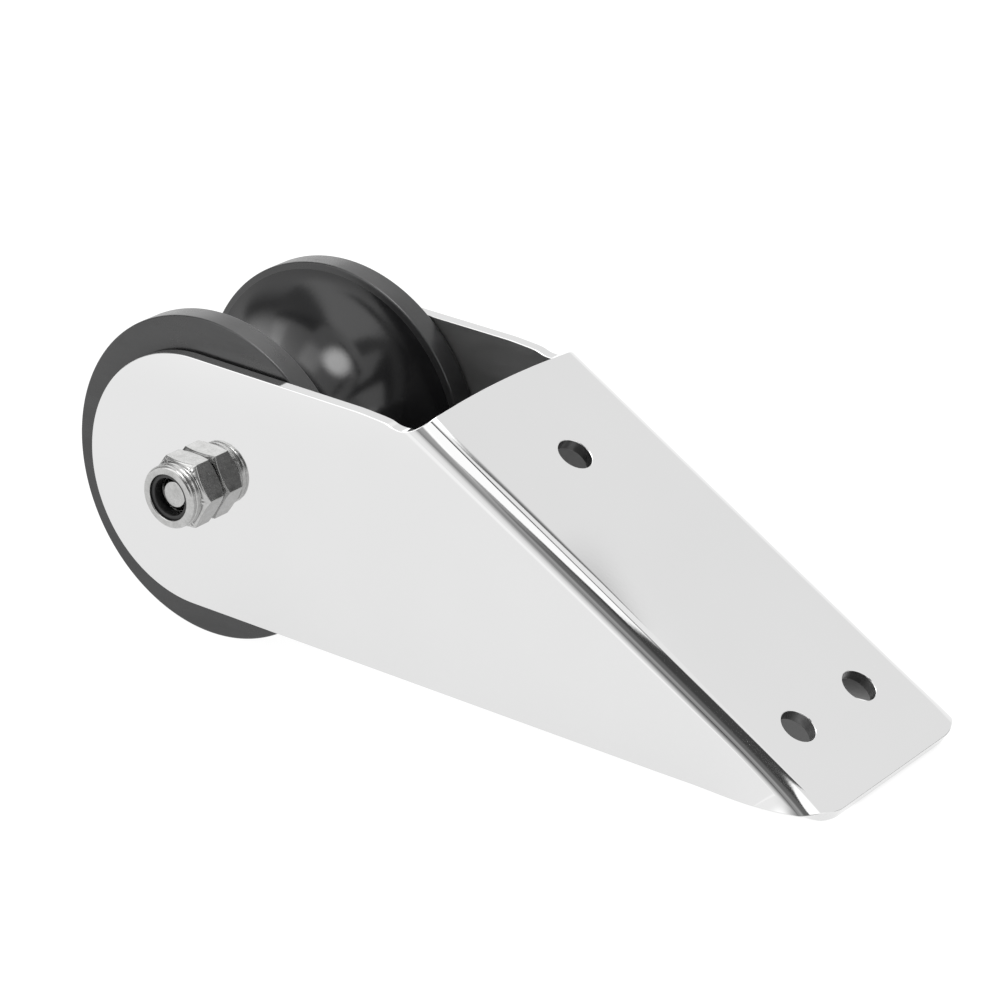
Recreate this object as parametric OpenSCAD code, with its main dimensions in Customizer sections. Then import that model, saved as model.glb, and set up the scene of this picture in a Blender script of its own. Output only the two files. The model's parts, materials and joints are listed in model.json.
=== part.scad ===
// Bow roller: one folded stainless sheet carries a grooved roller on a through-bolt.
// Row frame: +Z up, +X from the roller towards the tail of the plate, +Y across.
// The part stands on its roller and on the tail of its plate, with Z = 0 under both.
// The origin is below the middle of its bounding box.

/* [Cheeks] */
// Width over the outsides of the two cheeks
bracket_w = 60; // [56:1:72]
// Thickness of the folded sheet
sheet_t = 3; // [2.5:0.5:4]
// Height of a cheek, which is also the diameter of its round end
cheek_h = 63; // [58:1:66]
// Distance from the axle to the front tip of a cheek
cheek_tip = 33.1; // [31:0.1:35]
// Angle at which the lower edge closes on the upper edge
lower_rise = 0.77; // [0:0.01:1.2]

/* [Plate] */
// Angle between the plate and the upper edges of the cheeks
plate_slope = 29.4; // [27:0.1:31]
// Distance along the cheeks from the axle to the plate's front edge
plate_front_x = 64.9; // [62:0.1:70]
// Height of the plate's front edge above the axle
plate_front_z = 34.8; // [34:0.1:36]
// Length of the plate down its slope
plate_len = 126; // [120:1:130]
// Inside radius of the two bends
bend_r = 1.5; // [1:0.5:3]
// Radius of the notch where the plate's front edge meets a cheek
notch_r = 4; // [3:0.5:5]
// Depth of that notch below the cheek's upper edge
notch_dip = 1; // [0.5:0.1:1.5]
// Length of the curve that takes the lower edge up to the tail
tail_curve = 24; // [18:1:30]

/* [Mounting holes] */
// Diameter of each mounting hole
hole_d = 8.5; // [6.5:0.1:9]
// Distance of the single hole from the plate's front edge
front_hole_in = 24.5; // [18:0.5:30]
// Distance of the pair of holes from the plate's tail edge
tail_hole_in = 20.5; // [16:0.5:26]
// Distance between the two holes of the pair
tail_hole_gap = 25; // [20:1:30]

/* [Roller] */
// Diameter of the roller over its flanges
roller_d = 80; // [76:1:82]
// Gap between the roller and each cheek
side_gap = 0.7; // [0.4:0.1:1.2]
// Width of each flange's rim
rim_w = 6.25; // [5:0.25:8]
// Depth of the groove below the rims
groove_depth = 17; // [12:1:20]
// Rounding of the rims' edges
rim_edge_r = 0.5; // [0.3:0.1:1]
// Diameter of the hole moulded through the roller
roller_bore_d = 15; // [14:0.5:16]

/* [Axle] */
// Diameter of the bolt's shank
bolt_d = 9.9; // [9.7:0.1:9.9]
// Length of the bolt under its head
bolt_len = 70; // [69:1:72]
// Size of the hexagons across their flats
hex_af = 16; // [16:1:17]
// Height of the bolt's head
head_h = 6.4; // [6:0.1:7]
// Height of the lock nut with its collar
nut_h = 10.4; // [10:0.1:12]
// Height of the lock nut's hexagon
nut_hex_h = 6.8; // [6:0.1:7.5]
// Diameter of the lock nut's collar
collar_d = 15.6; // [14.6:0.1:15.8]
// Diameter of the washer under the head
washer_d = 20; // [18:0.5:21]
// Thickness of that washer
washer_t = 2; // [1.6:0.1:2.5]

/* [Hidden] */
$fn = 96;
past = 1;                                // how far a cut runs past the face it opens

half_w = bracket_w / 2;
cheek_r = cheek_h / 2;
cheek_end_x = cheek_r - cheek_tip;       // centre of the cheek's round end
outer_bend_r = bend_r + sheet_t;
flat_half_w = half_w - outer_bend_r;     // where the flat of the plate ends and a bend starts

// The plate's outer face runs from its front edge to its tail edge, in the cheeks' plane.
tail_x = plate_front_x + plate_len * cos(plate_slope);
tail_z = plate_front_z - plate_len * sin(plate_slope);
tail_in_x = tail_x - sheet_t * sin(plate_slope);
tail_in_z = tail_z - sheet_t * cos(plate_slope);

// The lower edge is a straight line that leaves the round end on a tangent.
lower_start_x = cheek_end_x + cheek_r * sin(lower_rise);
lower_start_z = -cheek_r * cos(lower_rise);
function lower_z(x) = lower_start_z + (x - lower_start_x) * tan(lower_rise);

// The curve at the tail is an arc, tangent to that line, that ends on the tail edge.
curve_x = tail_x - tail_curve;
curve_z = lower_z(curve_x);
curve_rise = -sin(lower_rise) * tail_curve + cos(lower_rise) * (tail_z - curve_z);
curve_r = (pow(tail_curve, 2) + pow(tail_z - curve_z, 2)) / (2 * curve_rise);
curve_centre = [curve_x - curve_r * sin(lower_rise), curve_z + curve_r * cos(lower_rise)];

// The notch is a circle that touches the line of the plate's front edge.
front_foot_x = plate_front_x - (plate_front_z - cheek_r) * tan(plate_slope);
notch_z = cheek_r - notch_dip + notch_r;
notch_x = plate_front_x
        + ((notch_z - plate_front_z) * sin(plate_slope) - notch_r) / cos(plate_slope);
notch_touch = [notch_x + notch_r * cos(plate_slope), notch_z - notch_r * sin(plate_slope)];

// At rest the cheeks tip down towards the tail until roller and tail edge touch the ground.
roller_r = roller_d / 2;
rest_tilt = asin(roller_r / norm([tail_in_x, tail_in_z])) - atan2(-tail_in_z, tail_in_x);
tail_reach = tail_x * cos(rest_tilt) + tail_z * sin(rest_tilt);
axle_x = (roller_r - tail_reach) / 2;

roller_half_w = half_w - sheet_t - side_gap;
groove_half_w = roller_half_w - rim_w;
groove_r = (pow(groove_half_w, 2) + pow(groove_depth, 2)) / (2 * groove_depth);
bush_end_gap = side_gap / 2;             // the bush stands proud, so that the rubber never rubs
bush_bore_d = bolt_d + 0.1;
cheek_bore_d = bolt_d + 0.6;

thread_point = 1.5;                      // chamfer on the end of the bolt
hex_chamfer = 30;                        // angle of the chamfers on the hexagons' corners
insert_d = 13.4;
insert_bore_d = 9.2;
lip_t = 0.6;                             // rolled lip that keeps the insert in the nut
lip_bore_d = 11.4;
head_y = half_w + washer_t;
axle_y = (nut_h - washer_t - head_h) / 2;    // centres the part between nut and head

// Cheek frame: origin on the axle at mid-width, X along the cheeks' upper edges.
module in_place() {
    translate([axle_x, axle_y, roller_r]) rotate([0, rest_tilt, 0]) children();
}

// Plate frame: origin on the front edge of the outer face, X down the slope, Z outwards.
module on_plate() {
    translate([plate_front_x, 0, plate_front_z]) rotate([0, plate_slope, 0]) children();
}

// Extrudes an outline drawn in X and Z across the whole width.
module across(w) {
    translate([0, w / 2, 0]) rotate([90, 0, 0]) linear_extrude(w) children();
}

// Turns a profile of (radius, length) about the axle: lengths run towards -Y.
module about_axle() {
    rotate([90, 0, 0]) rotate_extrude() children();
}

module side_outline() {
    difference() {
        union() {
            translate([cheek_end_x, 0]) circle(cheek_r, $fn = 180);
            polygon([
                [cheek_end_x, cheek_r], [notch_x, cheek_r], [notch_x, notch_z], notch_touch,
                [plate_front_x, plate_front_z], [tail_x, tail_z],
                [tail_x, lower_z(tail_x)], [lower_start_x, lower_start_z]]);
        }
        translate([notch_x, notch_z]) circle(notch_r);
        difference() {
            translate([curve_x, curve_z - tail_curve]) square([tail_curve * 2, tail_curve * 2]);
            translate(curve_centre) circle(curve_r, $fn = 720);
        }
    }
}

// Section of the folded channel, with the plate at the top and a bend at each side.
module channel_section(depth) {
    difference() {
        union() {
            translate([-half_w, -depth]) square([bracket_w, depth - outer_bend_r]);
            translate([-flat_half_w, -depth]) square([2 * flat_half_w, depth]);
            for (s = [-1, 1]) translate([s * flat_half_w, -outer_bend_r]) circle(outer_bend_r);
        }
        translate([-half_w + sheet_t, -depth - past])
            square([bracket_w - 2 * sheet_t, depth + past - outer_bend_r]);
        translate([-flat_half_w, -depth - past])
            square([2 * flat_half_w, depth + past - sheet_t]);
        for (s = [-1, 1]) translate([s * flat_half_w, -outer_bend_r]) circle(bend_r);
    }
}

module channel() {
    ahead = plate_front_x + cheek_h;
    translate([-ahead, 0, 0]) rotate([90, 0, 90]) linear_extrude(ahead + plate_len)
        channel_section(ahead);
}

// Rounds the two corners of the tail in plan.
module corner_cuts() {
    for (s = [-1, 1]) mirror([0, s < 0 ? 1 : 0, 0])
        translate([plate_len - outer_bend_r, flat_half_w, -outer_bend_r * 2])
            linear_extrude(outer_bend_r * 2 + past) difference() {
                square(outer_bend_r + past);
                circle(outer_bend_r);
            }
}

module mounting_hole(along, y) {
    translate([along, y, -sheet_t - past]) cylinder(d = hole_d, h = sheet_t + 2 * past);
}

module bracket() {
    color("gainsboro") in_place() difference() {
        union() {
            difference() {
                intersection() {
                    on_plate() channel();
                    across(bracket_w + 2 * past) side_outline();
                }
                on_plate() corner_cuts();
            }
            on_plate() translate([0, -flat_half_w, -sheet_t])
                cube([plate_len, 2 * flat_half_w, sheet_t]);
        }
        on_plate() mounting_hole(front_hole_in, 0);
        for (s = [-1, 1]) on_plate() mounting_hole(plate_len - tail_hole_in, s * tail_hole_gap / 2);
        across(bracket_w + 2 * past) circle(d = cheek_bore_d);
    }
}

module roller() {
    color("dimgray") in_place() about_axle() difference() {
        union() {
            translate([roller_bore_d / 2, -roller_half_w])
                square([roller_r - rim_edge_r - roller_bore_d / 2, 2 * roller_half_w]);
            for (s = [-1, 1]) translate([roller_r - rim_edge_r, s * (roller_half_w - rim_w / 2)])
                square([2 * rim_edge_r, rim_w - 2 * rim_edge_r], center = true);
            for (s = [-1, 1], e = [-1, 1])
                translate([roller_r - rim_edge_r,
                           s * (roller_half_w - rim_w / 2) + e * (rim_w / 2 - rim_edge_r)])
                    circle(rim_edge_r, $fn = 32);
        }
        translate([roller_r - groove_depth + groove_r, 0]) circle(groove_r);
    }
}

module roller_bush() {
    reach = half_w - sheet_t - bush_end_gap;
    color("ivory") in_place() about_axle()
        translate([bush_bore_d / 2, -reach])
            square([(roller_bore_d - bush_bore_d) / 2, 2 * reach]);
}

// Hexagonal prism from z = 0 to h, its corners chamfered at the top and, if asked, below.
module hexagon(h, chamfer_below) {
    corner_r = hex_af / sqrt(3);
    face_r = hex_af / 2 * 0.97;
    drop = (corner_r - face_r) * tan(hex_chamfer);
    intersection() {
        cylinder(r = corner_r, h = h, $fn = 6);
        rotate_extrude() polygon([
            [0, 0], [chamfer_below ? face_r : corner_r, 0],
            [corner_r, chamfer_below ? drop : 0], [corner_r, h - drop], [face_r, h], [0, h]]);
    }
}

module axle_bolt() {
    point_r = bolt_d / 2 - thread_point;
    color("silver") in_place() union() {
        translate([0, head_y, 0]) rotate([-90, 0, 0]) hexagon(head_h, false);
        translate([0, head_y, 0]) about_axle() polygon([
            [0, -head_h / 2], [bolt_d / 2, -head_h / 2], [bolt_d / 2, bolt_len - thread_point],
            [point_r, bolt_len], [0, bolt_len]]);
    }
}

module head_washer() {
    color("silver") in_place() translate([0, half_w, 0]) rotate([-90, 0, 0]) difference() {
        cylinder(d = washer_d, h = washer_t);
        translate([0, 0, -past]) cylinder(d = cheek_bore_d, h = washer_t + 2 * past);
    }
}

module lock_nut() {
    edge = 0.8;                          // rounding of the collar's outer edge
    color("silver") in_place() translate([0, -half_w, 0]) difference() {
        union() {
            rotate([90, 0, 0]) hexagon(nut_hex_h, true);
            about_axle() translate([0, nut_hex_h - past])
                square([collar_d / 2, nut_h - nut_hex_h + past - edge]);
            about_axle() translate([0, nut_h - edge - past])
                square([collar_d / 2 - edge, edge + past]);
            about_axle() intersection() {
                translate([collar_d / 2 - edge, nut_h - edge]) circle(edge, $fn = 32);
                square([collar_d, nut_h]);
            }
        }
        about_axle() polygon([
            [0, -past], [bush_bore_d / 2, -past], [bush_bore_d / 2, nut_hex_h],
            [insert_d / 2, nut_hex_h], [insert_d / 2, nut_h - lip_t],
            [lip_bore_d / 2, nut_h - lip_t], [lip_bore_d / 2, nut_h + past], [0, nut_h + past]]);
    }
}

module nylon_insert() {
    color("black") in_place() translate([0, -half_w, 0]) about_axle()
        translate([insert_bore_d / 2, nut_hex_h])
            square([(insert_d - insert_bore_d) / 2, nut_h - lip_t - nut_hex_h]);
}

bracket();
roller();
roller_bush();
axle_bolt();
head_washer();
lock_nut();
nylon_insert();
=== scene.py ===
import bpy
import bmesh
import json
import math
from mathutils import Matrix, Vector
from mathutils.geometry import delaunay_2d_cdt


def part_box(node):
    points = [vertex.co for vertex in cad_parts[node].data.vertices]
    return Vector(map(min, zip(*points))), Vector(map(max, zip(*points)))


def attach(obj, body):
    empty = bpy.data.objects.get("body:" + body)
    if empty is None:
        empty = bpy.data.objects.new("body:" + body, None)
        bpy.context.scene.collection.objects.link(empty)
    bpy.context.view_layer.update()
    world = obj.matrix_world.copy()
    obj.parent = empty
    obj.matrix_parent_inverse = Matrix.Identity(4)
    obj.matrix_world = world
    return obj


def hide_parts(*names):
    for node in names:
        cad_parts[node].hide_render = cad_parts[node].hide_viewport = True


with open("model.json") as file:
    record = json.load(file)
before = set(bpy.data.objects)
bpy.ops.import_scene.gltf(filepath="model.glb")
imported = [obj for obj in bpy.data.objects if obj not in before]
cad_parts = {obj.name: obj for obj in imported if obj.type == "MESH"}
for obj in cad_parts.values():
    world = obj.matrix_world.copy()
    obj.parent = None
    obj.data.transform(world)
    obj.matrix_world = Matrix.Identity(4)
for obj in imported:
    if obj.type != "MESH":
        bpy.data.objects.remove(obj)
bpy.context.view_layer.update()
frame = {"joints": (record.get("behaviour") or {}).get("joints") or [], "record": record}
record = frame["record"]
MM = 0.001

# ---------------------------------------------------------------- the frame's places
AXLE = Vector(frame["joints"][0]["pos_m"])
DECK = next(m for m in record["mounts"] if m["name"] == "deck_face")
PLATE_N = Vector(DECK["axis"])                       # outward normal of the plate
PLATE_U = Vector((PLATE_N.z, 0, -PLATE_N.x))         # down the plate's slope
ACROSS = Vector((0, 1, 0))
BRACKET_LOW, BRACKET_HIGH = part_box("bracket")
NUT_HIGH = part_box("lock_nut")[1]
HEAD_LOW, HEAD_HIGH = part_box("axle_bolt")

# Sizes of the folded sheet, in millimetres, as the CAD part has them.
SHEET_T = 3.0
HALF_W = (BRACKET_HIGH.y - BRACKET_LOW.y) / 2 / MM
PLATE_LEN = 126.0
PLATE_SLOPE = math.radians(29.4)                     # between the plate and the cheeks' upper edges
LOWER_RISE = math.radians(0.77)                      # between the cheeks' lower and upper edges
CHEEK_R = 31.5
CHEEK_END = -1.6                                     # centre of the round end, from the axle
HOLE_R = 4.25
FRONT_HOLE = 24.5
TAIL_HOLES = 105.5
TAIL_GAP = 25.0
AXLE_HOLE_R = 5.25

# Where the visible sheet follows the real one more closely than the plain CAD solid does.
BEND_R = 5.95                                        # outside radius of the bends at the front edge
BEND_TAPER = 0.0163                                  # how much tighter they are per millimetre of slope
# The corner between the plate's front edge and a cheek's upper edge is a smooth curve through
# (distance down the slope, distance past the plate's flat).
NOTCH = [(0.0, -24.0), (0.06, -18.0), (0.35, -10.0), (0.72, -4.0), (1.0, 0.5), (0.93, 2.9),
         (-0.1, 5.2), (-2.0, 7.1), (-4.3, 8.35), (-7.0, 9.05), (-10.5, 10.65), (-15.0, 12.9),
         (-20.0, 15.7)]
CORNER_R = 11.0                                      # rounding of the cheeks' tail corners
EDGE_R = 0.22                                        # polished rounding of every cut edge
FLARE_START = 97.0                                   # where the bends start to fade out
FLARE = math.radians(42)                             # how far they have opened at the tail
FLARE_POWER = 2.0
LIFT_START = 88.0                                    # where the lower edges start to curve up
TAIL_LIFT = 1.3                                      # and how far they have risen at the tail
CORNER_DROOP = 0.2                                   # how far the tail's bends sag
DROOP_REACH = 12.0

# The plate's tail and front edges, on the outer face and at mid-width, in metres.
TAIL_EDGE = Vector(DECK["pos_m"])
TAIL_EDGE = TAIL_EDGE + PLATE_U * ((BRACKET_HIGH.x - TAIL_EDGE.x) / PLATE_U.x)
FRONT_EDGE = TAIL_EDGE - PLATE_U * PLATE_LEN * MM
# Angle by which the cheeks tip down towards the tail when the part stands at rest.
TILT = math.atan2(PLATE_N.x, PLATE_N.z) - PLATE_SLOPE
# The axle as seen from the front edge, down the slope and out of the plate, in millimetres.
AXLE_U = (AXLE - FRONT_EDGE).dot(PLATE_U) / MM
AXLE_W = (AXLE - FRONT_EDGE).dot(PLATE_N) / MM


# ---------------------------------------------------------------- helpers
def new_object(name, mesh, body, replaced):
    piece = bpy.data.objects.new(name, mesh)
    bpy.context.scene.collection.objects.link(piece)
    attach(piece, body)
    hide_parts(replaced)
    return piece


def arc(centre, radius, start, end, steps):
    """Points along an arc, angles in degrees."""
    for k in range(steps + 1):
        a = math.radians(start + (end - start) * k / steps)
        yield (centre[0] + radius * math.cos(a), centre[1] + radius * math.sin(a))


def spline(points, steps):
    """A smooth curve that stops just short of the last point but one, and heads for it."""
    out = []
    for k in range(len(points) - 2):
        p0, p1, p2, p3 = (Vector(points[max(k + j, 0)]) for j in (-1, 0, 1, 2))
        for t in (j / steps for j in range(steps)):
            out.append(tuple(0.5 * (2 * p1 + (p2 - p0) * t + (2 * p0 - 5 * p1 + 4 * p2 - p3) * t * t
                                    + (3 * p1 - p0 - 3 * p2 + p3) * t ** 3)))
    return out


def smooth(x):
    x = min(max(x, 0.0), 1.0)
    return x * x * (3 - 2 * x)


def shade_with(mesh, normals):
    mesh.shade_smooth()
    mesh.normals_split_custom_set_from_vertices(normals)


# ---------------------------------------------------------------- the folded sheet
def bend(u):
    """Outside radius of a bend, half width of the flat and developed length of the bend at u."""
    r = BEND_R - BEND_TAPER * u
    return r, HALF_W - r, (r - SHEET_T / 2) * math.pi / 2


def cheek_point(x, z):
    """A point of the cheek, given from the axle along and above the cheek, in the blank's (u, q)."""
    u = AXLE_U + x * math.cos(PLATE_SLOPE) - z * math.sin(PLATE_SLOPE)
    w = AXLE_W + x * math.sin(PLATE_SLOPE) + z * math.cos(PLATE_SLOPE)
    r, flat, length = bend(u)
    return (u, flat + length - r - w)


def fold(u, q, off):
    """Where the blank's point (u, q) goes, off millimetres outside the sheet's middle surface."""
    side, q = (1 if q >= 0 else -1), abs(q)
    _, flat, length = bend(u)
    fade = max((u - FLARE_START) / (PLATE_LEN - FLARE_START), 0.0)
    turn = math.pi / 2 - FLARE * fade ** FLARE_POWER
    s = min(max(q - flat, 0.0), length)
    a = turn * s / length
    r = length / turn
    past = max(q - flat - length, 0.0)
    y = min(q, flat) + r * math.sin(a) + past * math.cos(turn) + off * math.sin(a)
    w = -SHEET_T / 2 - r * (1 - math.cos(a)) - past * math.sin(turn) + off * math.cos(a)
    corner = math.hypot(PLATE_LEN - u, 3 * max(flat + 1 - q, 0.0)) / DROOP_REACH
    w -= CORNER_DROOP * (1 - smooth(corner)) ** 2
    return FRONT_EDGE + (PLATE_U * u + ACROSS * side * y + PLATE_N * w) * MM


def sheet_vertex(u, q, off, out=(0, 0), lean=0.0):
    """Position and normal of a point of the sheet's skin; lean turns the normal towards out."""
    h = 0.02                                             # step that the slopes are measured over
    du = fold(u + h, q, off) - fold(u - h, q, off)
    dq = fold(u, q + h, off) - fold(u, q - h, off)
    n = du.cross(dq).normalized() * (1 if off >= 0 else -1)
    edge = du * out[0] + dq * out[1]
    if edge.length > 0:
        n = n * math.cos(lean) + edge.normalized() * math.sin(lean)
    return fold(u, q, off), n.normalized()


def half_outline():
    """The blank's outline on its +q side, from the middle of the front edge to that of the tail."""
    _, flat, _ = bend(0)
    points = [(u, flat + q) for u, q in spline(NOTCH, 6)]
    points[0] = (0.0, 0.0)                               # the front edge runs on to mid-width
    points += [cheek_point(*p) for p in
               arc((CHEEK_END, 0), CHEEK_R, 90, 270 + math.degrees(LOWER_RISE), 96)]
    # The lower edge is straight until it curves up to the tail, where its corner is rounded.
    run, steps = 150.0, 80
    start = Vector(points[-1])
    end = Vector(cheek_point(CHEEK_END + run, LOWER_RISE * run - CHEEK_R))
    edge = []
    for k in range(steps + 1):
        u = start.x + (PLATE_LEN - start.x) * k / steps
        lift = max((u - LIFT_START) / (PLATE_LEN - LIFT_START), 0.0)
        edge.append(Vector((u, start.y + (end.y - start.y) * (u - start.x) / (end.x - start.x)
                            - TAIL_LIFT * lift ** 2)))
    fall = edge[-1] - edge[-4]
    slope = math.atan2(-fall.y, fall.x)
    back = CORNER_R * math.tan((math.pi / 2 - slope) / 2)
    centre = (PLATE_LEN - CORNER_R, edge[-1].y - back)
    points += [tuple(e) for e in edge[1:] if e.x < PLATE_LEN - back * math.cos(slope) - 0.2]
    points += arc(centre, CORNER_R, 90 - math.degrees(slope), 0, 14)
    points.append((PLATE_LEN, 0.0))
    return points


def blank_outline():
    half = half_outline()
    return half + [(u, -q) for u, q in reversed(half[1:-1])]


def circle(centre, radius, steps):
    return [(centre[0] + radius * math.cos(2 * math.pi * k / steps),
             centre[1] + radius * math.sin(2 * math.pi * k / steps)) for k in range(steps)]


def outward(loop, k, turn):
    """Mitred direction out of the sheet at a point of a loop; turn is the sign of its area."""
    before, after = Vector(loop[k - 1]), Vector(loop[(k + 1) % len(loop)])
    here = Vector(loop[k])
    a, b = (here - before).normalized(), (after - here).normalized()
    m = (Vector((a.y, -a.x)) + Vector((b.y, -b.x))) * turn
    return m / max(m.length * m.normalized().dot(Vector((a.y, -a.x)) * turn), 0.2)


def area_sign(loop):
    total = sum(p[0] * q[1] - q[0] * p[1] for p, q in zip(loop, loop[1:] + loop[:1]))
    return 1 if total > 0 else -1


def inside(p, loop):
    hit = False
    for a, b in zip(loop, loop[1:] + loop[:1]):
        if (a[1] > p[1]) != (b[1] > p[1]):
            if p[0] < (b[0] - a[0]) * (p[1] - a[1]) / (b[1] - a[1]) + a[0]:
                hit = not hit
    return hit


def densify(loop, longest):
    out = []
    for a, b in zip(loop, loop[1:] + loop[:1]):
        n = max(1, math.ceil(math.hypot(b[0] - a[0], b[1] - a[1]) / longest))
        out += [(a[0] + (b[0] - a[0]) * k / n, a[1] + (b[1] - a[1]) * k / n) for k in range(n)]
    return out


def blank_lines():
    """Lines along which the blank is divided, so that its bends and its flared tail are smooth."""
    bend_strips, cheek_strip, plate_strip, cross_strip = 16, 1.4, 1.7, 1.5
    cheek_from, plate_from = 90, 106                     # where the flared tail needs more lines
    lines = []
    ends = (-12.0, PLATE_LEN + 5.0)

    def run(side, share, extra, start=ends[0]):
        points = []
        for u in (start, ends[1]):
            _, flat, length = bend(u)
            points.append((u, side * (flat + share * length + extra)))
        lines.append(tuple(points))

    for side in (-1, 1):
        for k in range(bend_strips + 1):
            run(side, k / bend_strips, 0.0)
        for k in range(1, 9):
            run(side, 1.0, cheek_strip * k, cheek_from)
            run(side, 0.0, -plate_strip * k, plate_from)
    for k in range(25):
        u = cheek_from + cross_strip * k
        lines.append(((u, -75), (u, 75)))
    return lines


def blank_loops():
    """The blank's outline and its five holes."""
    axle = cheek_point(0, 0)
    loops = [densify(blank_outline(), 4.0), circle((FRONT_HOLE, 0), HOLE_R, 72)]
    for side in (-1, 1):
        loops.append(circle((TAIL_HOLES, side * TAIL_GAP / 2), HOLE_R, 72))
        loops.append(circle((axle[0], side * axle[1]), AXLE_HOLE_R, 72))
    return loops


def inset_loops(loops):
    """The loops, drawn into the sheet by the rounding of its edges."""
    turns = [area_sign(loops[0])] + [-area_sign(hole) for hole in loops[1:]]
    outs = [[outward(lp, k, t) for k in range(len(lp))] for lp, t in zip(loops, turns)]
    return [[(p[0] - o.x * EDGE_R, p[1] - o.y * EDGE_R) for p, o in zip(lp, ov)]
            for lp, ov in zip(loops, outs)]


def cut_blank(inset):
    """Flat mesh of the blank inside the loops: its points and faces."""
    points, edges = [], []
    for lp in inset:
        base = len(points)
        points += lp
        edges += [(base + k, base + (k + 1) % len(lp)) for k in range(len(lp))]
    for a, b in blank_lines():
        edges.append((len(points), len(points) + 1))
        points += [a, b]
    verts, _, faces, _, _, _ = delaunay_2d_cdt([Vector(p) for p in points], edges, [], 0, 1e-6)
    keep = []
    for f in faces:
        mid = sum((verts[i] for i in f), Vector((0, 0))) / len(f)
        if inside(mid, inset[0]) and not any(inside(mid, h) for h in inset[1:]):
            keep.append(f)
    return verts, keep


def borders(faces):
    """From each border point to the next one. The dividing lines have split the loops' own edges."""
    count = {}
    for f in faces:
        for a, b in zip(f, f[1:] + f[:1]):
            count[frozenset((a, b))] = count.get(frozenset((a, b)), 0) + 1
    return {a: b for f in faces for a, b in zip(f, f[1:] + f[:1]) if count[frozenset((a, b))] == 1}


def bracket_mesh():
    """Outer skin, inner skin and edges, whose material numbers follow make_pieces()."""
    loops = blank_loops()
    verts, faces = cut_blank(inset_loops(loops))
    bm = bmesh.new()
    normals = []

    def add(u, q, off, out=(0, 0), lean=0.0):
        p, n = sheet_vertex(u, q, off, out, lean)
        normals.append(n)
        return bm.verts.new(p)

    half_t = SHEET_T / 2
    used = sorted({i for f in faces for i in f})
    top = {i: add(verts[i].x, verts[i].y, half_t) for i in used}
    under = {i: add(verts[i].x, verts[i].y, -half_t) for i in used}
    for f in faces:
        bm.faces.new([top[i] for i in f])
        # The inner skin takes the second material, whose dark colour is partly painted shade.
        bm.faces.new([under[i] for i in reversed(f)]).material_index = 1

    steps = 4
    leans = [k * math.pi / 2 / steps for k in range(1, steps + 1)]
    rings = [(EDGE_R * (1 - math.sin(a)), half_t - EDGE_R * (1 - math.cos(a)), a) for a in leans]
    rings += [(i, -o, a) for i, o, a in reversed(rings)]
    border = borders(faces)
    columns = {}
    for a, b in border.items():
        here, after = verts[a], verts[b]
        before = verts[next(k for k, v in border.items() if v == a)]
        d1, d2 = (here - before).normalized(), (after - here).normalized()
        n1, n2 = Vector((d1.y, -d1.x)), Vector((d2.y, -d2.x))
        out = (n1 + n2).normalized()
        reach = 1 / max(out.dot(n1), 0.5)
        column = []
        for depth, off, lean in rings:
            push = (EDGE_R - depth) * reach
            column.append(add(here.x + out.x * push, here.y + out.y * push, off, out, lean))
        columns[a] = [top[a]] + column + [under[a]]
    centres = [sum((Vector(p) for p in hole), Vector((0, 0))) / len(hole) for hole in loops[1:]]
    for a, b in border.items():
        drilled = any((verts[a] - c).length < AXLE_HOLE_R + 2 * EDGE_R for c in centres)
        for k in range(len(columns[a]) - 1):
            face = bm.faces.new([columns[a][k], columns[a][k + 1], columns[b][k + 1], columns[b][k]])
            # The walls of the holes take the third material, whose dark colour is painted shade.
            face.material_index = 2 if drilled and k >= steps else 0

    mesh = bpy.data.meshes.new("bracket_sheet")
    bm.to_mesh(mesh)
    bm.free()
    shade_with(mesh, normals)
    return mesh


# ---------------------------------------------------------------- shapes about the axle
def profile(*parts):
    """Points of (radius, height): each part is a point or an arc (centre, radius, from, to, steps)."""
    out = []
    for part in parts:
        for p in ([part] if len(part) == 2 else arc(*part)):
            if not out or math.dist(p, out[-1]) > 1e-6:
                out.append(p)
    return out


def about_axle(name, columns, base_y, closed=True):
    """A solid from (angle, profile) columns about the axle; heights run from base_y towards -Y."""
    bm = bmesh.new()
    rings = []
    for angle, points in columns:
        c, s = math.cos(angle - TILT), math.sin(angle - TILT)
        rings.append([bm.verts.new((AXLE.x + r * MM * c, base_y - h * MM, AXLE.z + r * MM * s))
                      for r, h in points])
    n = len(rings[0])
    for a, b in zip(rings, rings[1:] + rings[:1]):
        for i in range(n if closed else n - 1):
            j = (i + 1) % n
            bm.faces.new((a[i], a[j], b[j], b[i]))
    bmesh.ops.remove_doubles(bm, verts=bm.verts, dist=1e-7)
    bmesh.ops.dissolve_degenerate(bm, edges=bm.edges, dist=1e-8)
    bmesh.ops.recalc_face_normals(bm, faces=bm.faces)
    mesh = bpy.data.meshes.new(name)
    bm.to_mesh(mesh)
    bm.free()
    mesh.shade_smooth()
    return mesh


def turned(name, points, base_y, steps):
    return about_axle(name, [(2 * math.pi * k / steps, points) for k in range(steps)], base_y)


def flat_faces(piece):
    """Keeps flats flat beside rounded edges."""
    mod = piece.modifiers.new("weighted_normals", "WEIGHTED_NORMAL")
    mod.weight = 90


HEX_FLAT = 8.0                                       # half the width across flats
HEX_ROUND = 0.35
HEX_FACE = 7.28                                      # radius of the flat end face
HEX_RISE = math.tan(math.radians(30))                # slope of the chamfer


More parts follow.
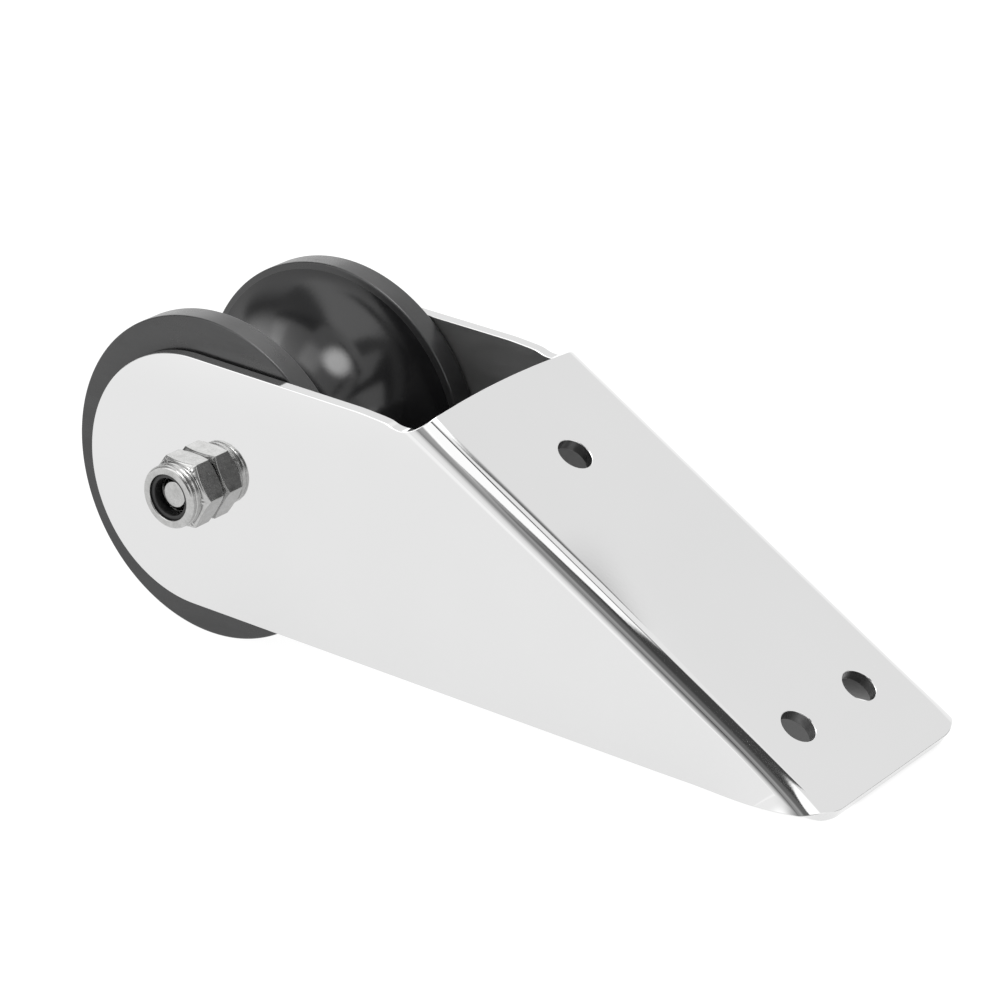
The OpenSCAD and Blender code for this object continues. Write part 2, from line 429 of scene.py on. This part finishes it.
def hex_outline(per_flat=22):
    """(angle, radius) of a hexagon with rounded corners, one corner on the axis of angle 0."""
    centre = (HEX_FLAT - HEX_ROUND) / math.cos(math.radians(30))
    out = []
    for k in range(6):
        turn = math.pi / 3 * k
        ring = list(arc((centre, 0), HEX_ROUND, -30, 30, 6))
        end = Vector(ring[-1])
        after = Vector(ring[0])
        after.rotate(Matrix.Rotation(math.pi / 3, 2))
        ring += [tuple(end.lerp(after, t / per_flat)) for t in range(1, per_flat)]
        out += [(math.atan2(y, x) + turn, math.hypot(x, y)) for x, y in ring]
    return out


def chamfer(rho, height, sign):
    """Rounded edge and cone that take a hexagon's side, at radius rho, to its face circle."""
    drop = (rho - HEX_FACE) * HEX_RISE
    e = 0.20                                             # how far the rounding reaches
    top = (rho, height - sign * drop)
    a = (rho, top[1] - sign * e)
    b = (rho - e * math.cos(math.radians(30)), top[1] + sign * e * math.sin(math.radians(30)))
    mid = tuple(0.25 * p + 0.5 * q + 0.25 * r for p, q, r in zip(a, top, b))
    return [a, mid, b, (HEX_FACE, height)]


def nut_mesh():
    """A chamfered hexagon, then the collar: turned steps, a rolled-over rim and the ring's seat."""
    collar = profile(
        (7.34, 6.82), (7.34, 6.94), (7.46, 7.00), (7.58, 7.06), (7.60, 7.20), (7.52, 7.28), (7.52, 7.38),
        (7.68, 7.44), (7.74, 7.56), (7.76, 7.75), (7.74, 8.60), (7.66, 8.70), (7.58, 8.76), (7.58, 8.88),
        (7.66, 8.94), (7.68, 9.10),
        ((6.90, 9.52), 0.80, 0, 84, 9), (6.3, 10.38), ((5.95, 10.06), 0.32, 88, 180, 6),
        (5.60, 9.80), (6.70, 9.76), (6.70, 6.85), (5.02, 6.80), (5.02, 0.4), (5.5, 0.0))
    columns = []
    for angle, rho in hex_outline():
        low = list(reversed(chamfer(rho, 0.0, -1)))
        columns.append((angle, low + chamfer(rho, 6.8, 1) + collar))
    return about_axle("nut", columns, NUT_HIGH.y)


THREAD_PITCH = 1.5
THREAD_DEPTH = 0.75
THREAD_LEN = 14.0
BOLT_R = 4.95
BOLT_POINT = 1.85                                    # chamfer of the bolt's end


def bolt_mesh():
    """Head, shank and a rolled thread, which fades in from the shank and ends in a chamfer."""
    length = (HEAD_HIGH.y - HEAD_LOW.y) / MM
    head, rows = 6.4, 112
    thread_from = length - THREAD_LEN
    columns = []
    for angle, rho in hex_outline(12):
        points = [(0.0, 0.0), (HEX_FACE - 0.6, 0.0), (HEX_FACE - 0.2, 0.02)]
        points += list(reversed(chamfer(rho, 0.0, -1)))
        points += [(rho, head - 0.12), (rho - 0.12, head), (BOLT_R + 0.3, head),
                   (BOLT_R, head + 0.3), (BOLT_R, thread_from)]
        for k in range(1, rows + 1):
            h = thread_from + THREAD_LEN * k / rows
            # One turn of the helix: flat crest and root, smooth flanks, and a run-out at its start.
            turn = (h / THREAD_PITCH + angle / (2 * math.pi)) % 1.0
            cut = THREAD_DEPTH * smooth(1.35 - 2.7 * abs(turn - 0.5)) * smooth((h - thread_from) / 2)
            points.append((max(min(BOLT_R - cut, BOLT_R - BOLT_POINT + length - h), 0.1), h))
        points += [(BOLT_R - BOLT_POINT - 0.15, length), (1.6, length - 0.03), (0.0, length - 0.03)]
        columns.append((angle, points))
    return about_axle("bolt", columns, HEAD_HIGH.y, closed=False)


ROLLER_R = 40.0


def roller_mesh():
    """Flat rims with rounded edges either side of a groove whose section is one arc."""
    half_w = 26.3
    r, edge, depth, groove_half = ROLLER_R, 0.5, 17.0, 20.05
    g = (groove_half ** 2 + depth ** 2) / (2 * depth)
    c = r - depth + g
    fill_r = r - edge
    fill_h = math.sqrt((g + edge) ** 2 - (c - fill_r) ** 2)
    lean = math.degrees(math.atan2(fill_h, c - fill_r))
    up = profile((7.5, 0.0), (7.5, half_w - 0.6), ((8.1, half_w - 0.6), 0.6, 180, 90, 4),
                 (22.0, half_w), (34.0, half_w),
                 ((r - edge, half_w - edge), edge, 90, 0, 8), (r, (half_w + fill_h) / 2),
                 ((fill_r, fill_h), edge, 0, -lean, 8), ((c, 0), g, 180 - lean, 180, 64))
    down = [(x, -h) for x, h in reversed(up[:-1])]
    return turned("roller", up + down[:-1], AXLE.y, 288)


def bush_mesh():
    """A plain tube with chamfered ends."""
    half, inner, outer = 26.65, 5.0, 7.5
    up = profile((inner, 0.0), (inner, half - 0.3), (inner + 0.3, half), (outer - 0.3, half),
                 (outer, half - 0.3))
    down = [(x, -h) for x, h in reversed(up)]
    return turned("bush", up + down[:-1], AXLE.y, 96)


def insert_mesh():
    """The locking ring, with a rounded lead-in for the bolt."""
    points = profile((4.6, 6.82), (4.6, 9.45), ((4.9, 9.45), 0.3, 180, 90, 5), (6.68, 9.75),
                     (6.68, 6.87))
    return turned("insert", points, NUT_HIGH.y, 144)


def washer_mesh():
    """A flat ring with rounded edges."""
    low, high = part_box("head_washer")
    t = (high.y - low.y) / MM
    points = profile(((9.8, 0.2), 0.2, -90, 0, 4), ((9.8, t - 0.2), 0.2, 0, 90, 4),
                     ((5.45, t - 0.2), 0.2, 90, 180, 4), ((5.45, 0.2), 0.2, 180, 270, 4))
    return turned("washer", points, high.y, 144)


# ---------------------------------------------------------------- materials
class Nodes:
    """A node tree, with the arithmetic that materials and lights share."""

    def __init__(self, tree):
        self.nodes, self.links = tree.nodes, tree.links

    def put(self, value, socket):
        """Gives a socket a number, or links another node's output to it."""
        if isinstance(value, (int, float)):
            socket.default_value = value
        else:
            self.links.new(value, socket)

    def math(self, op, *inputs):
        node = self.nodes.new("ShaderNodeMath")
        node.operation = op
        for socket, value in zip(node.inputs, inputs):
            self.put(value, socket)
        return node.outputs[0]


class Shader(Nodes):
    """A Principled material. The colour and roughness given here are means, which noise then varies."""

    def __init__(self, name, color, metallic, roughness):
        self.mat = bpy.data.materials.new(name)
        self.mat.use_nodes = True
        super().__init__(self.mat.node_tree)
        self.bsdf = next(n for n in self.nodes if n.type == "BSDF_PRINCIPLED")
        self.bsdf.inputs["Base Color"].default_value = (*color, 1)
        self.bsdf.inputs["Metallic"].default_value = metallic
        self.bsdf.inputs["Roughness"].default_value = roughness
        self.coords = self.nodes.new("ShaderNodeTexCoord").outputs["Object"]

    def scaled(self, x, y, z):
        mapping = self.nodes.new("ShaderNodeMapping")
        mapping.inputs["Scale"].default_value = (x, y, z)
        self.links.new(self.coords, mapping.inputs["Vector"])
        return mapping.outputs["Vector"]

    def noise(self, scale, detail=4.0, rough=0.55, vector=None):
        tex = self.nodes.new("ShaderNodeTexNoise")
        tex.inputs["Scale"].default_value = scale
        tex.inputs["Detail"].default_value = detail
        tex.inputs["Roughness"].default_value = rough
        self.links.new(vector or self.coords, tex.inputs["Vector"])
        return tex.outputs["Fac"]

    def ramp(self, fac, low, high, start=0.3, end=0.7):
        node = self.nodes.new("ShaderNodeMapRange")
        node.inputs["From Min"].default_value = start
        node.inputs["From Max"].default_value = end
        node.inputs["To Min"].default_value = low
        node.inputs["To Max"].default_value = high
        self.links.new(fac, node.inputs["Value"])
        return node.outputs["Result"]

    def grey(self, fac, low, high, start=0.3, end=0.7):
        node = self.nodes.new("ShaderNodeValToRGB")
        node.color_ramp.elements[0].position = start
        node.color_ramp.elements[1].position = end
        node.color_ramp.elements[0].color = (*low, 1)
        node.color_ramp.elements[1].color = (*high, 1)
        self.links.new(fac, node.inputs["Fac"])
        self.links.new(node.outputs["Color"], self.bsdf.inputs["Base Color"])

    def roughness(self, value):
        self.links.new(value, self.bsdf.inputs["Roughness"])

    def bump(self, height, distance, strength=1.0):
        node = self.nodes.new("ShaderNodeBump")
        node.inputs["Strength"].default_value = strength
        node.inputs["Distance"].default_value = distance
        self.links.new(height, node.inputs["Height"])
        self.links.new(node.outputs["Normal"], self.bsdf.inputs["Normal"])


def polished_stainless():
    """Mirror finish with a faint haze and the wheel's fine lines along the part."""
    s = Shader("polished_stainless", (0.70, 0.70, 0.70), 1.0, 0.04)
    haze = s.noise(60.0, 3.0)
    lines = s.noise(900.0, 2.0, 0.5, s.scaled(0.06, 1.0, 1.0))
    s.roughness(s.math("ADD", s.ramp(haze, 0.025, 0.05), s.ramp(lines, 0.0, 0.02)))
    s.grey(s.noise(14.0, 3.0), (0.69, 0.69, 0.69), (0.71, 0.71, 0.71))
    s.bump(s.math("ADD", s.noise(1500.0, 2.0), s.noise(220.0, 2.0)), 0.0000012)
    return s.mat


def mill_finish_and_painted_shade():
    """The inside of the fold, rough as the sheet came from the mill; its dark colour is partly painted
    shade inside the channel.
    """
    # Dark grey colour: partly painted shade inside the channel.
    s = Shader("mill_finish_and_painted_shade", (0.23, 0.23, 0.23), 0.85, 0.48)
    s.roughness(s.ramp(s.noise(300.0, 4.0, 0.6, s.scaled(0.3, 1.0, 1.0)), 0.42, 0.54))
    s.grey(s.noise(60.0, 4.0), (0.21, 0.21, 0.21), (0.25, 0.25, 0.25))
    s.bump(s.noise(1400.0, 3.0), 0.000004)
    return s.mat


def bore_finish_and_painted_shade():
    """Walls of the drilled holes, which the polishing wheel never reached; their dark colour is painted
    shade in the holes.
    """
    # Near-black colour: painted shade in the holes.
    s = Shader("bore_finish_and_painted_shade", (0.13, 0.13, 0.13), 0.9, 0.38)
    s.roughness(s.ramp(s.noise(900.0, 4.0, 0.6), 0.30, 0.46))
    s.grey(s.noise(400.0, 3.0), (0.11, 0.11, 0.11), (0.15, 0.15, 0.15))
    return s.mat


def fastener_steel():
    """Plain stainless, drawn along the axle and slightly uneven."""
    s = Shader("fastener_steel", (0.44, 0.44, 0.435), 1.0, 0.21)
    drawn = s.noise(900.0, 3.0, 0.6, s.scaled(1.0, 0.12, 1.0))
    grain = s.noise(1500.0, 4.0, 0.7)
    blotch = s.noise(330.0, 4.0, 0.6)
    s.roughness(s.math("ADD", s.ramp(drawn, 0.17, 0.22), s.ramp(blotch, 0.0, 0.04)))
    s.grey(s.math("ADD", s.math("MULTIPLY", blotch, 0.55), s.math("MULTIPLY", grain, 0.45)),
           (0.38, 0.38, 0.375), (0.50, 0.50, 0.495), 0.38, 0.62)
    s.bump(s.math("ADD", drawn, grain), 0.000008, 0.7)
    return s.mat


def black_rubber():
    """The groove: moulded black rubber, glossy, with wipe marks."""
    s = Shader("black_rubber", (0.0057, 0.0057, 0.0062), 0.0, 0.18)
    wipes = s.noise(160.0, 6.0, 0.7, s.scaled(0.35, 1.0, 1.6))
    haze = s.noise(45.0, 4.0)
    s.roughness(s.math("ADD", s.ramp(haze, 0.14, 0.22), s.ramp(wipes, 0.0, 0.10, 0.58, 0.78)))
    s.grey(s.noise(70.0, 5.0), (0.0045, 0.0045, 0.005), (0.007, 0.007, 0.0075))
    s.bump(s.math("ADD", s.noise(900.0, 3.0), s.math("MULTIPLY", s.noise(90.0, 2.0), 2.0)), 0.00001)
    return s.mat


def moulded_side():
    """The roller's side faces and rims, left as the mould made them and dulled by handling."""
    s = Shader("moulded_side", (0.0145, 0.0145, 0.015), 0.0, 0.30)
    scuffs = s.noise(130.0, 7.0, 0.75, s.scaled(0.4, 1.0, 1.5))
    haze = s.noise(50.0, 4.0)
    s.roughness(s.math("ADD", s.ramp(haze, 0.24, 0.34), s.ramp(scuffs, 0.0, 0.16, 0.52, 0.72)))
    s.grey(s.math("ADD", s.math("MULTIPLY", scuffs, 0.7), s.math("MULTIPLY", s.noise(30.0, 3.0), 0.3)),
           (0.010, 0.010, 0.0105), (0.019, 0.019, 0.0195), 0.4, 0.6)
    s.bsdf.inputs["Specular IOR Level"].default_value = 0.65
    s.bump(s.math("ADD", s.noise(1100.0, 3.0), scuffs), 0.00001)
    return s.mat


def black_nylon():
    s = Shader("black_nylon", (0.012, 0.012, 0.012), 0.0, 0.45)
    s.roughness(s.ramp(s.noise(600.0, 4.0), 0.38, 0.55))
    s.bump(s.noise(1800.0, 2.0), 0.00002)
    return s.mat


def white_plastic():
    s = Shader("white_plastic", (0.79, 0.78, 0.74), 0.0, 0.42)
    s.grey(s.noise(120.0, 3.0), (0.76, 0.75, 0.71), (0.82, 0.81, 0.77))
    s.roughness(s.ramp(s.noise(500.0, 3.0, 0.5, s.scaled(1.0, 0.2, 1.0)), 0.34, 0.5))
    s.bump(s.noise(1200.0, 2.0, 0.5, s.scaled(0.2, 1.0, 0.2)), 0.00002)
    return s.mat


# ---------------------------------------------------------------- the pieces
def make_pieces():
    steel = fastener_steel()
    made = [
        ("bracket_sheet", bracket_mesh(), "frame", "polished_stainless", "bracket",
         (polished_stainless(), mill_finish_and_painted_shade(), bore_finish_and_painted_shade())),
        ("grooved_roller", roller_mesh(), "wheel", "black_rubber", "roller",
         (black_rubber(), moulded_side())),
        ("axle_bush", bush_mesh(), "wheel", "white_plastic", "roller_bush", (white_plastic(),)),
        ("through_bolt", bolt_mesh(), "frame", "fastener_steel", "axle_bolt", (steel,)),
        ("plain_washer", washer_mesh(), "frame", "fastener_steel", "head_washer", (steel,)),
        ("collar_nut", nut_mesh(), "frame", "fastener_steel", "lock_nut", (steel,)),
        ("locking_ring", insert_mesh(), "frame", "black_nylon", "nylon_insert", (black_nylon(),)),
    ]
    for name, mesh, body, slot, node, materials in made:
        piece = new_object(name, mesh, body, node)
        for material in materials:
            mesh.materials.append(material)
        if name != "bracket_sheet":
            flat_faces(piece)
        if name == "grooved_roller":
            dull_sides(mesh)


def dull_sides(mesh):
    """Gives the roller's rims and side faces its second material."""
    for face in mesh.polygons:
        away = math.hypot(face.center.x - AXLE.x, face.center.z - AXLE.z)
        if away > (ROLLER_R - 0.4) * MM or abs(face.normal.y) > 0.97:
            face.material_index = 1


# ---------------------------------------------------------------- camera, floor and light
CAMERA_AZIMUTH = math.radians(37.04)
CAMERA_ELEVATION = math.radians(22.47)
CAMERA_ROLL = math.radians(-0.91)
CAMERA_DISTANCE = 0.8475
CAMERA_LENS = 132.83


def add_camera():
    cam = bpy.data.objects.new("camera", bpy.data.cameras.new("camera"))
    bpy.context.scene.collection.objects.link(cam)
    aim = Vector((-0.0003, AXLE.y, AXLE.z + 0.0013))
    back = Vector((math.sin(CAMERA_AZIMUTH) * math.cos(CAMERA_ELEVATION),
                   -math.cos(CAMERA_AZIMUTH) * math.cos(CAMERA_ELEVATION),
                   math.sin(CAMERA_ELEVATION)))
    look = (-back).to_track_quat("-Z", "Y").to_matrix().to_4x4()
    cam.matrix_world = (Matrix.Translation(aim + back * CAMERA_DISTANCE) @ look
                        @ Matrix.Rotation(CAMERA_ROLL, 4, "Z"))
    cam.data.lens = CAMERA_LENS
    cam.data.sensor_width = 36
    cam.data.clip_start = 0.01
    bpy.context.scene.camera = cam


def plane(name, size, height, material):
    bm = bmesh.new()
    bmesh.ops.create_grid(bm, x_segments=4, y_segments=4, size=size)
    bmesh.ops.translate(bm, verts=bm.verts, vec=(0, 0, height))
    mesh = bpy.data.meshes.new(name)
    bm.to_mesh(mesh)
    bm.free()
    mesh.materials.append(material)
    sheet = bpy.data.objects.new(name, mesh)
    bpy.context.scene.collection.objects.link(sheet)
    return sheet


def towards(az, el):
    """Unit vector: azimuth in degrees from -Y towards +X, elevation in degrees."""
    az, el = math.radians(az), math.radians(el)
    return Vector((math.sin(az) * math.cos(el), -math.cos(az) * math.cos(el), math.sin(el)))


def west(x, soft):
    """Border line, for Panels.area, of what lies on the -X side of x."""
    return ((x, 0), (x, 10), soft)


def east(x, soft):
    return ((x, 10), (x, 0), soft)


def north(y, soft):
    """Border line of what lies on the +Y side of y."""
    return ((0, y), (10, y), soft)


def south(y, soft):
    return ((10, y), (0, y), soft)


def moved(line, by, soft):
    """The line, by millimetres to its right."""
    a, b = Vector(line[0]), Vector(line[1])
    d = (b - a).normalized() * by
    return (a + Vector((d.y, -d.x)), b + Vector((d.y, -d.x)), soft)


class Panels(Nodes):
    """Builds up the brightness of a studio surface from soft-edged panels, as shader nodes."""

    def __init__(self, tree, where, value):
        super().__init__(tree)
        self.where = where
        self.value = value

    def along(self, axis):
        node = self.nodes.new("ShaderNodeVectorMath")
        node.operation = "DOT_PRODUCT"
        self.links.new(self.where, node.inputs[0])
        node.inputs[1].default_value = axis
        return node.outputs["Value"]

    def step(self, value, start, end):
        """Smooth 0 to 1 as value goes from start to end."""
        node = self.nodes.new("ShaderNodeMapRange")
        node.interpolation_type = "SMOOTHSTEP"
        if start > end:
            value, start, end = self.math("MULTIPLY", value, -1.0), -start, -end
        node.inputs["From Min"].default_value = start
        node.inputs["From Max"].default_value = end
        self.links.new(value, node.inputs["Value"])
        return node.outputs["Result"]

    def mix(self, mask, value):
        node = self.nodes.new("ShaderNodeMix")
        node.data_type = "FLOAT"
        self.links.new(mask, node.inputs[0])
        self.put(self.value, node.inputs[2])
        self.put(value, node.inputs[3])
        self.value = node.outputs[0]

    def patch(self, az, el, half_w, half_h, value, soft):
        """A panel on the sky, in degrees."""
        n = towards(az, el)
        right = Vector((0, 0, 1)).cross(n).normalized()
        mask = self.step(self.along(n), -0.1, 0.1)
        for axis, half in ((right, half_w), (n.cross(right), half_h)):
            off = self.math("ABSOLUTE", self.along(axis))
            edge = [math.sin(math.radians(min(max(half + s * soft / 2, 0.0), 89))) for s in (1, -1)]
            mask = self.math("MULTIPLY", mask, self.step(off, edge[0], edge[1]))
        self.mix(mask, value)

    def left_of(self, a, b, soft):
        """Mask that is 1 on the left of the line from a to b, which are in millimetres."""
        d = (Vector(b) - Vector(a)).normalized()
        n = Vector((-d.y, d.x)) / MM
        off = self.math("SUBTRACT", self.along((n.x, n.y, 0)), n.dot(Vector(a)) * MM)
        return self.step(off, -soft / 2, soft / 2)

    def area(self, value, *lines):
        """A panel on the floor or ceiling: the region on the left of every line (a, b, soft)."""
        mask = None
        for line in lines:
            side = self.left_of(*line)
            mask = side if mask is None else self.math("MULTIPLY", mask, side)
        self.mix(mask, value)

    def disc(self, centre, radius, value, soft):
        """A round panel, in millimetres."""
        node = self.nodes.new("ShaderNodeVectorMath")
        node.operation = "DISTANCE"
        flat = self.nodes.new("ShaderNodeVectorMath")
        flat.operation = "MULTIPLY"
        self.links.new(self.where, flat.inputs[0])
        flat.inputs[1].default_value = (1, 1, 0)
        self.links.new(flat.outputs["Vector"], node.inputs[0])
        node.inputs[1].default_value = (centre[0] * MM, centre[1] * MM, 0)
        edge = [(radius + s * soft / 2) * MM for s in (1, -1)]
        self.mix(self.step(node.outputs["Value"], edge[0], edge[1]), value)


def add_floor():
    """White sheet lit from below so that shadows stay faint; it is dark only where the part covers it,
    which is a painted shadow.
    """
    s = Shader("floor_sheet", (0.12, 0.12, 0.12), 0.0, 0.9)
    s.bsdf.inputs["Specular IOR Level"].default_value = 0.0
    s.bsdf.inputs["Emission Color"].default_value = (1, 1, 1, 1)
    s.mat.cycles.emission_sampling = "NONE"
    glow = Panels(s.mat.node_tree, s.coords, 1.12)
    # A little dimmer beside and behind the part, and again far in front of it.
    glow.area(0.97, north(-185, 90))
    glow.area(0.97, south(-520, 300))
    # Painted shadow: under the part the floor's glow drops to 0.10.
    tail = BRACKET_HIGH.x / MM - 4
    glow.area(0.10, east(8, 12), west(tail, 10), ((8, -6), (tail, -14), 8), south(HALF_W - 7, 8))
    s.links.new(glow.value, s.bsdf.inputs["Emission Strength"])
    plane("floor", 6.0, 0.0, s.mat)


def add_sky():
    """Glossy surfaces see a backdrop with dark flags, others a plain fill, and the camera white."""
    world = bpy.data.worlds.new("studio")
    world.use_nodes = True
    world.cycles.sampling_method = "NONE"
    bpy.context.scene.world = world
    tree = world.node_tree
    sky = Panels(tree, tree.nodes.new("ShaderNodeTexCoord").outputs["Generated"], 1.16)
    sky.patch(-32, 34, 16, 22, 1.8, 14)            # a panel left of the camera
    sky.patch(30, 18, 38, 38, 0.06, 28)            # the dark side of the room, right of the camera
    sky.patch(52, 0, 18, 10, 0.70, 10)             # the pale edge of the bench
    sky.patch(-76, 20, 10, 34, 0.25, 22)           # a gap between the panels
    sky.patch(140, 12, 19, 18, 0.30, 8)            # a flag low at the back right
    panels = sky.value
    rays = tree.nodes.new("ShaderNodeLightPath")
    sky.value = 1.35
    sky.mix(rays.outputs["Is Glossy Ray"], panels)
    sky.mix(rays.outputs["Is Camera Ray"], 1.0)
    background = next(n for n in tree.nodes if n.type == "BACKGROUND")
    background.inputs["Color"].default_value = (1, 1, 1, 1)
    tree.links.new(sky.value, background.inputs["Strength"])


CEILING = 0.31                                       # height of the softboxes, in metres


def add_ceiling():
    """Softboxes close above the part. Only glossy surfaces see them, as in a light tent."""
    mat = bpy.data.materials.new("softboxes")
    mat.use_nodes = True
    mat.cycles.emission_sampling = "NONE"
    tree = mat.node_tree
    for node in [n for n in tree.nodes if n.type == "BSDF_PRINCIPLED"]:
        tree.nodes.remove(node)
    p = Panels(tree, tree.nodes.new("ShaderNodeTexCoord").outputs["Object"], 0.07)

    # Joints between the boxes, which show as thin dark lines in the bends, then the borders of
    # the front boxes.
    seam_low, seam_high = ((80, 18), (106, 105)), ((108, 125), (124, 290))
    gap_left, gap_right = ((60, -53), (100, -50)), ((101, -43), (154, 27))
    front_edge, front_end = ((61, -273), (150, -120)), ((150, -130), (160, -30), 10)
    tent_side = ((-55, 0), (-825, -643), 60)

    p.area(0.17, south(-210, 100))                       # the dim front of the tent
    p.area(1.15, west(-60, 60))                          # its left wall
    # Middle box, front box with its dim rim, the brighter box on its left, a dark strip between
    # the two, and the front box's far corner, up to the gap.
    p.area(1.12, ((160, 20), (212, 200), 12), moved(gap_left, -13, 18), moved(gap_right, -7, 12))
    p.area(0.45, moved(front_edge, 30, 40), south(-75, 14), west(85, 50))
    p.area(1.4, (*front_edge, 12), front_end, south(-64, 14), tent_side)
    p.area(2.1, west(20, 70), south(-100, 60), tent_side)
    p.area(0.50, east(-42, 40), west(32, 18), south(-112, 30))
    p.area(1.4, front_end, moved(gap_right[::-1], -7, 12), north(-66, 6))
    # Far front, which the lower part of the bends and the roller's groove see.
    p.area(0.45, south(-400, 130), east(-60, 60))
    p.area(0.35, south(-510, 110), east(-390, 60))
    # Right-hand boxes, seen by the tail of the bends.
    p.area(1.04, east(225, 6), north(-220, 60))
    p.area(1.5, east(225, 6), south(80, 50), north(-220, 60))
    # Back boxes with their seam, seen by the plate.
    p.area(0.16, moved(seam_low, 8, 8), moved(seam_high, 8, 8), north(6, 14), south(285, 40))
    p.area(1.04, moved(seam_low, -15, 46), moved(seam_high, -15, 46), north(-4, 24))
    p.area(1.04, north(295, 30))
    # On the left of the roller: bright panels that its groove and its rims see, and a gap.
    p.area(2.1, west(-60, 60), north(50, 60), south(225, 60), east(-185, 60))
    p.area(1.75, west(-418, 50), north(50, 60))
    p.area(0.20, south(0, 30), north(-78, 30), west(-190, 40))
    p.disc((-10, 30), 68, 8.0, 64)                       # the lamp itself
    light = tree.nodes.new("ShaderNodeEmission")
    tree.links.new(p.value, light.inputs["Strength"])
    output = next(n for n in tree.nodes if n.type == "OUTPUT_MATERIAL")
    tree.links.new(light.outputs["Emission"], output.inputs["Surface"])
    ceiling = plane("softbox_ceiling", 0.7, CEILING, mat)
    ceiling.visible_camera = False
    ceiling.visible_diffuse = False
    ceiling.visible_shadow = False
    ceiling.visible_transmission = False


make_pieces()
add_floor()
add_sky()
add_ceiling()
add_camera()
bpy.context.scene.view_settings.view_transform = "Standard"
